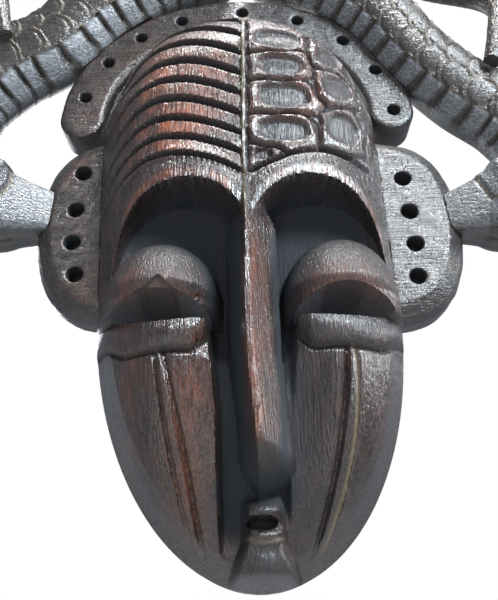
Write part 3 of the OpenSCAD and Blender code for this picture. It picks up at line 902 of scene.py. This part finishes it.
def snake_head(t, side):
    """Inset and marks of a head: a jaw line, an incised panel, and a ring round the eye."""
    x, z = t.flat(t.w * t.q)
    panel = polygon_inside(x, z, HEAD_PANEL[side])
    ring = np.hypot(x - STUD[side][0], z - STUD[side][1])
    on_top = smooth(0.58, 0.7, t.p)
    raised = 2.2 * smooth(-0.8, 1.2, panel) - 1.6 * line(panel, 0.9) - line(panel - 3.4, 0.7)
    raised = raised + 1.4 * line(ring - 9.5, 1.5) - 1.2 * line(ring - 12.5, 1.0)
    jaw = line(t.p - 0.02, 0.09) * smooth(t.total - 12, t.total - 30, t.v)
    rims = line(panel + 0.2, 0.7) + line(ring - 9.5, 0.9)
    # painted shade in the incised panel and the jaw line; painted highlight on the front of the head
    marks = {
        "pale": np.maximum(on_top * rims, 0.4 * line(jaw - 0.6, 0.25)),
        "groove": on_top * line(panel - 1.2, 0.9) + jaw,
        "worn": 0 * jaw,
        "painted_sheen": 0.45 * on_top,
    }
    return HEAD_SKIN - 0.9 * raised * on_top + 1.8 * jaw, marks


def crown_prism():
    """Cuts a snake back to the glue line on the crown band."""
    arc = [ring_point(CROWN_A + GLUE, CROWN_B + GLUE, a) for a in np.linspace(-2, 182, 93)]
    foot = [(CROWN_X - 60, CROWN_Z - 5), (CROWN_X + 60, CROWN_Z - 5)]
    return prism("crown_prism", arc + foot, 5.0, -CROWN_T - GLUE)


def make_snake(side, material):
    t = Sweep(SNAKE_PATH[side], 1.15, 128)
    p, q, w, deep = t.p, t.q, t.w, t.deep
    body = smooth(t.total - HEAD_LENGTH, t.total - HEAD_LENGTH - 8, t.v)
    skull = 1 - body
    skin, skin_marks = snake_skin(t, side, q * (-side), body)
    head, head_marks = snake_head(t, side)
    inset = np.clip(skin * body + head * skull, 0.15, None)

    # the section is a little square, and nearly square on the head
    square = 1.0 / (np.abs(q) ** 5 + np.abs(p) ** 5) ** 0.2
    square = 1 + (square - 1) * (0.14 + 0.78 * skull)
    wide = np.clip((w - inset) * q * square, 0.2 - w, w - 0.2)
    front = np.minimum((deep - inset) * p * square, deep - 0.2)
    ob = t.mesh("mask_snake_" + SIDE_NAME[side], wide, front, -1.0)
    marks = {k: np.maximum(skin_marks[k] * body, head_marks[k] * skull) for k in skin_marks}
    # painted shade towards the back of the body
    marks["groove"] = np.maximum(marks["groove"], smooth(0.1, -0.4, p) * 0.3)
    mark(ob, **{k: m.ravel() for k, m in marks.items()})

    inner_end = [(0, 195), (side * 118, 195), (side * 118, 252), (0, 252)]
    middle = side * GLUE
    other_side = [(middle, 380), (middle - side * 40, 380), (middle - side * 40, 480), (middle, 480)]
    cut(ob, [crown_prism(), ear_blank("ear_tool", side, GLUE), prism("inner_end", inner_end, 10.0, -90.0),
             prism("other_side", other_side, 10.0, -90.0)])
    shade(ob, 50)
    return hand_over(ob, "snake_" + SIDE_NAME[side], material)


def body_tool(side):
    """The plain body of a snake, to seat its tail."""
    t = Sweep(SNAKE_PATH[side], 4.0, 48)
    return t.mesh("body_tool", t.w * t.q, t.deep * t.p, -0.5)


def make_tail(side, material):
    t = Sweep(TAIL_PATH[side], 1.3, 80)
    across = np.degrees(np.arctan2(t.q, t.p)) / 360 * TAIL_GIRTH
    h, edge = scales(t.v, across + TAIL_GIRTH * 3, TAIL_SCALE)
    amount = smooth(0, 12, t.v) * smooth(t.total, t.total - 30, t.v)
    inset = 0.6 + (0.09 * t.w) * (1 - amount * h) + 0.5 * line(edge - 1.8, 0.5) * amount
    ob = t.mesh("mask_tail_" + SIDE_NAME[side], (t.w - inset) * t.q, (t.deep - inset) * t.p)
    # painted shade under the scale edges and towards the back; painted highlight towards the front
    marks = {
        "pale": amount * (line(edge - 0.2, 0.5) + 0.4 * line(edge - 1.8, 0.4)) * (h > 0.3),
        "groove": np.maximum(amount * line(edge + 0.2, 0.8), smooth(0.2, -0.4, t.p) * 0.3),
        "worn": 0.2 * h,
        "painted_sheen": 0.05 * np.clip(t.p, 0, 1),
    }
    mark(ob, **{k: m.ravel() for k, m in marks.items()})
    cut(ob, [body_tool(side)])
    shade(ob, 50)
    return hand_over(ob, "tail_" + SIDE_NAME[side], material)


def make_stud(side, material):
    """Turned eye: a dome on a short neck, with a fine groove round it."""
    profile = [(max(r, 0.02), y) for r, y in STUD_PROFILE]
    ob = turned("mask_eye_" + SIDE_NAME[side], *STUD[side], profile, STUD_SIDES)
    y = coords(ob)[:, 1]
    # painted shade in the groove round the dome; painted highlight on the front of the dome
    mark(ob, groove=0.6 * line(y + 49.8, 0.5), pale=line(y + 48.3, 0.9), worn=0 * y,
         painted_sheen=0.4 * smooth(-50, -52, y))
    shade(ob, 60)
    return hand_over(ob, "eye_stud_" + SIDE_NAME[side], material)


# ---- materials

UPRIGHT, LEVEL = (1.0, 1.0, 0.06), (0.08, 1.0, 1.0)     # stretch of the grain
GRAIN, COARSE, BLOTCH, SPECK = 820.0, 220.0, 42.0, 620.0     # noise scales, per metre
# colour of painted shade in grooves, recesses and undersides, and tan of worn edges
PAINTED_SHADE, PALE_EDGE = (0.050, 0.056, 0.063), (0.26, 0.20, 0.12)
# each wood: dark, brown, red wear, and a pale colour of painted highlight for the sheen mark
FACE_WOOD = ((0.008, 0.004, 0.003), (0.040, 0.017, 0.012), (0.30, 0.075, 0.022), (0.050, 0.050, 0.052))
BAND_WOOD = ((0.012, 0.008, 0.006), (0.050, 0.031, 0.024), (0.13, 0.052, 0.034), (0.060, 0.062, 0.066))
SNAKE_WOOD = ((0.010, 0.008, 0.007), (0.036, 0.027, 0.022), (0.08, 0.040, 0.026), (0.42, 0.46, 0.51))


class Graph:
    """Short names for building a node tree."""

    def __init__(self, name):
        self.mat = bpy.data.materials.new(name)
        self.mat.use_nodes = True
        self.tree = self.mat.node_tree
        self.shader = self.tree.nodes["Principled BSDF"]

    def node(self, kind, **inputs):
        n = self.tree.nodes.new(kind)
        for k, v in inputs.items():
            self.put(n, k, v)
        return n

    def put(self, n, k, v):
        socket = n.inputs[k]
        if hasattr(v, "is_output"):
            self.tree.links.new(v, socket)
        else:
            socket.default_value = v

    def mark(self, name):
        n = self.tree.nodes.new("ShaderNodeAttribute")
        n.attribute_name = name
        return n.outputs["Fac"]

    def noise(self, stretch, scale, detail=4.0):
        place = self.tree.nodes.new("ShaderNodeTexCoord")
        m = self.node("ShaderNodeMapping", Vector=place.outputs["Object"], Scale=stretch)
        return self.node("ShaderNodeTexNoise", Vector=m.outputs["Vector"], Scale=scale, Detail=detail,
                         Roughness=0.6).outputs["Fac"]

    def ramp(self, value, stops):
        n = self.node("ShaderNodeValToRGB", Fac=value)
        while len(n.color_ramp.elements) < len(stops):
            n.color_ramp.elements.new(0.5)
        for e, (at, colour) in zip(n.color_ramp.elements, stops):
            e.position = at
            e.color = (*colour, 1)
        return n.outputs["Color"]

    def mix(self, amount, a, b, blend="MIX"):
        n = self.tree.nodes.new("ShaderNodeMix")
        n.data_type = "RGBA"
        n.blend_type = blend
        self.put(n, 0, amount)
        for i, v in ((6, a), (7, b)):
            self.put(n, i, v if hasattr(v, "is_output") else (*v, 1))
        return n.outputs[2]

    def math(self, op, a, b, clamp=False):
        n = self.tree.nodes.new("ShaderNodeMath")
        n.operation = op
        n.use_clamp = clamp
        self.put(n, 0, a)
        self.put(n, 1, b)
        return n.outputs[0]

    def bump(self, height, strength, distance, normal=None):
        n = self.node("ShaderNodeBump", Height=height, Strength=strength, Distance=distance)
        if normal is not None:
            self.put(n, "Normal", normal)
        return n.outputs["Normal"]


def grey(v):
    return (v, v, v)


def stained_wood(name, colours, rough, along):
    """Dark stained and waxed wood. The grain runs where the stretch vector is small."""
    dark, brown, red, painted_sheen_colour = colours
    g = Graph(name)
    grain = g.noise(along, GRAIN, 3.0)
    coarse = g.noise(tuple(3 * a if a < 1 else a for a in along), COARSE, 3.0)
    blotch = g.noise((1.0, 1.0, 0.7), BLOTCH, 3.0)
    colour = g.ramp(coarse, [(0.35, dark), (0.65, brown)])
    rub = g.math("MULTIPLY", g.mark("worn"), g.ramp(blotch, [(0.35, grey(0.1)), (0.62, grey(1))]), True)
    colour = g.mix(rub, colour, red)
    # painted highlight: the sheen mark blends the colour towards the pale sheen colour, which stands in
    # for reflected light
    colour = g.mix(g.math("MULTIPLY", g.mark("painted_sheen"), 0.6), colour, painted_sheen_colour)
    streak = g.ramp(grain, [(0.36, grey(0.25)), (0.52, grey(1)), (0.68, (1.7, 1.6, 1.55))])
    colour = g.mix(0.8, colour, streak, "MULTIPLY")
    # painted shade: the groove mark darkens the colour towards a dark blue-grey where shade falls, and
    # dulls the gloss below
    colour = g.mix(g.math("MULTIPLY", g.mark("groove"), 0.95), colour, PAINTED_SHADE)
    colour = g.mix(g.math("MULTIPLY", g.mark("pale"), 0.8), colour, PALE_EDGE)
    g.put(g.shader, "Base Color", colour)
    speck = g.noise((1, 1, 0.5), SPECK, 2.0)
    gloss = g.ramp(speck, [(0.38, grey(rough - 0.12)), (0.62, grey(rough + 0.16))])
    gloss = g.mix(g.mark("groove"), gloss, grey(0.8))
    g.put(g.shader, "Roughness", gloss)
    clear = g.math("SUBTRACT", 1.0, g.mark("groove"), True)
    g.put(g.shader, "Specular IOR Level", g.math("MULTIPLY", clear, 0.7))
    normal = g.bump(grain, 1.0, 0.0009)
    normal = g.bump(speck, 0.55, 0.0006, normal)
    g.put(g.shader, "Normal", normal)
    g.put(g.shader, "Coat Weight", g.math("MULTIPLY", clear, 0.85))
    g.put(g.shader, "Coat Roughness", 0.15)
    g.put(g.shader, "Coat Normal", normal)
    return g.mat


def plain_wood(name):
    """Pale beech of the hidden dowels."""
    g = Graph(name)
    grain = g.noise((1.0, 1.0, 0.08), 600.0)
    g.put(g.shader, "Base Color", g.ramp(grain, [(0.35, (0.42, 0.27, 0.14)), (0.65, (0.58, 0.40, 0.22))]))
    g.put(g.shader, "Roughness", 0.6)
    return g.mat


def brass(name, rough):
    """Stained brass of the hanger."""
    g = Graph(name)
    stain = g.noise((1.0, 1.0, 1.0), 260.0)
    g.put(g.shader, "Base Color", g.ramp(stain, [(0.35, (0.44, 0.29, 0.10)), (0.65, (0.68, 0.48, 0.19))]))
    g.put(g.shader, "Metallic", 1.0)
    g.put(g.shader, "Roughness", rough)
    return g.mat


def floor_paint(name):
    """Plain pale paint."""
    g = Graph(name)
    tone = g.noise((1.0, 1.0, 1.0), 2.0)
    g.put(g.shader, "Base Color", g.ramp(tone, [(0.3, (0.86, 0.86, 0.85)), (0.7, (0.90, 0.90, 0.89))]))
    g.put(g.shader, "Roughness", 0.7)
    return g.mat


# ---- studio

FLOOR_DROP, FLOOR_R, FLOOR_SIDES = 1.15, 40.0, 64
LIGHTS = (      # name, place with its height above the chin, size, watts, colour
    ("key", (0.60, -0.88, 0.92), 0.4, 25, (0.84, 0.94, 1.0)),
    ("top", (0.10, -0.35, 1.4), 0.25, 14, (1, 1, 1)),
    ("side", (1.2, -0.2, 0.45), 0.4, 8, (0.93, 0.97, 1.0)),
    ("low", (-0.12, -1.0, -0.12), 0.8, 2.5, (1.0, 0.95, 0.91)),
    ("back", (-0.5, 1.2, 0.9), 0.8, 6, (1, 1, 1)),
)
LIT_POINT = (0.0, -0.03, 0.22)
SKY, SKY_STRENGTH = (0.80, 0.88, 1.0, 1), 0.36
CAMERA_PLACE, CAMERA_LENS = (-0.0014, -0.4261, -0.0054), 43.44
CAMERA_PITCH, CAMERA_ROLL = math.radians(90 + 23.2), math.radians(-1.65)


def from_chin(place):
    x, y, up = place
    return x, y, CHIN + up


def make_floor():
    z = cad_low.z - FLOOR_DROP
    turns = [2 * math.pi * i / FLOOR_SIDES for i in range(FLOOR_SIDES)]
    me = bpy.data.meshes.new("floor")
    me.from_pydata([(FLOOR_R * math.cos(a), FLOOR_R * math.sin(a), z) for a in turns], [],
                   [list(range(FLOOR_SIDES))])
    ob = bpy.data.objects.new("floor", me)
    SCENE.collection.objects.link(ob)
    me.materials.append(floor_paint("pale_floor"))


def area_light(name, place, size, power, colour):
    data = bpy.data.lights.new(name, "AREA")
    data.shape = "DISK"
    data.size = size
    data.energy = power
    data.color = colour
    ob = bpy.data.objects.new(name, data)
    SCENE.collection.objects.link(ob)
    ob.location = from_chin(place)
    dx, dy, dz = np.subtract(LIT_POINT, place)
    ob.rotation_euler = (math.atan2(math.hypot(dx, dy), -dz), 0, math.atan2(-dx, dy))


def make_sky():
    """Soft cool light from all round. Behind the object the studio is plain white."""
    world = bpy.data.worlds.new("studio")
    world.use_nodes = True
    tree = world.node_tree
    white = tree.nodes["Background"]
    white.inputs["Color"].default_value = (1, 1, 1, 1)
    dim = tree.nodes.new("ShaderNodeBackground")
    dim.inputs["Color"].default_value = SKY
    dim.inputs["Strength"].default_value = SKY_STRENGTH
    path = tree.nodes.new("ShaderNodeLightPath")
    either = tree.nodes.new("ShaderNodeMixShader")
    tree.links.new(path.outputs["Is Camera Ray"], either.inputs[0])
    tree.links.new(dim.outputs[0], either.inputs[1])
    tree.links.new(white.outputs[0], either.inputs[2])
    tree.links.new(either.outputs[0], tree.nodes["World Output"].inputs["Surface"])
    SCENE.world = world
    SCENE.view_settings.view_transform = "Standard"


def make_camera():
    """Below the mask, looking up at it, a little rolled."""
    data = bpy.data.cameras.new("camera")
    data.sensor_width = 36.0
    data.lens = CAMERA_LENS
    data.clip_start = 0.01
    ob = bpy.data.objects.new("camera", data)
    SCENE.collection.objects.link(ob)
    ob.location = from_chin(CAMERA_PLACE)
    turn = Matrix.Rotation(CAMERA_PITCH, 4, "X") @ Matrix.Rotation(CAMERA_ROLL, 4, "Z")
    ob.rotation_mode = "QUATERNION"
    ob.rotation_quaternion = turn.to_quaternion()
    SCENE.camera = ob


def paint_node(name, material):
    """Gives a CAD node that is kept as it is its material."""
    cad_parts[name].data.materials.clear()
    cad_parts[name].data.materials.append(material)


def main():
    face_wood = stained_wood("face_wood", FACE_WOOD, 0.32, UPRIGHT)
    band_wood = stained_wood("band_wood", BAND_WOOD, 0.32, LEVEL)
    snake_wood = stained_wood("snake_wood", SNAKE_WOOD, 0.28, LEVEL)
    make_face(face_wood)
    make_crown(band_wood)
    for side in (-1, 1):
        make_ear(side, band_wood)
        make_snake(side, snake_wood)
        make_tail(side, snake_wood)
        make_stud(side, snake_wood)
    beech = plain_wood("beech")
    for name in ("crown_dowels", "ear_dowels", "snake_dowels", "tail_dowels", "snout_dowels"):
        paint_node(name, beech)
    for name, rough in (("hanger_plate", 0.32), ("hanger_screws", 0.25)):
        paint_node(name, brass(name, rough))
    make_floor()
    make_sky()
    for light in LIGHTS:
        area_light(*light)
    make_camera()


main()
